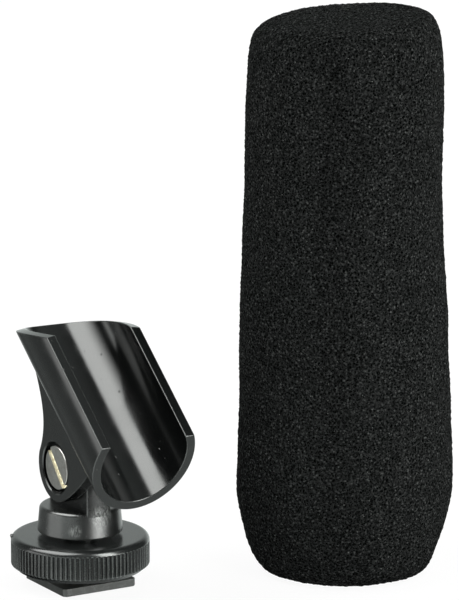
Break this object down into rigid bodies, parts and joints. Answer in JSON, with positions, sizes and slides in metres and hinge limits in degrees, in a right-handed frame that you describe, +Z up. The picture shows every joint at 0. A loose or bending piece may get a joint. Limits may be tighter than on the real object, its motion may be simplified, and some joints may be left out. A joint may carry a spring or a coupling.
{
  "type": "microphone shoe mount and windscreen",
  "caption": "Camera shoe mount with a tilting microphone clip, beside the foam windscreen of the microphone.",
  "frame": {"origin": "middle of the shoe foot's underside", "axes": "+Z up, +X along the tilt pivot away from the screw head, -Y towards the clip's low front end"},
  "size_m": [0.0987, 0.0594, 0.128],
  "materials": {
    "satin_plastic": "satin black moulding, lightly scuffed",
    "gloss_plastic": "glossy black moulding",
    "nickel": "dull nickel plate, brass showing in the slot",
    "steel": "bright zinc plate",
    "brass": "turned brass",
    "foam": "open-cell charcoal foam"
  },
  "bodies": {
    "mount": {"shoe_foot": "satin_plastic", "threaded_stud": "steel", "pivot_base": "satin_plastic"},
    "wheel": {"thumbwheel": "gloss_plastic", "thumbwheel_insert": "brass"},
    "clip_body": {"clip": "gloss_plastic", "pivot_nut": "steel"},
    "screw": {"pivot_screw": "nickel"},
    "windscreen_body": {"windscreen": "foam"}
  },
  "joints": [
    {"name": "clip_tilt", "type": "hinge", "parent": "mount", "child": "clip_body", "pos_m": [0, 0, 0.02744], "axis": [1, 0, 0], "range_deg": [-104, 33]},
    {"name": "thumbwheel_turn", "type": "hinge", "parent": "mount", "child": "wheel", "pos_m": [0, 0, 0.00747], "axis": [0, 0, 1], "range_deg": [-515, 200]},
    {"name": "screw_turn", "type": "hinge", "parent": "clip_body", "child": "screw", "pos_m": [0, 0, 0.02744], "axis": [-1, 0, 0], "range_deg": [-30, 360]},
    {"name": "windscreen_lift", "type": "slide", "parent": "mount", "child": "windscreen_body", "axis": [0, 0, 1], "range_m": [0, 0.07]}
  ]
}
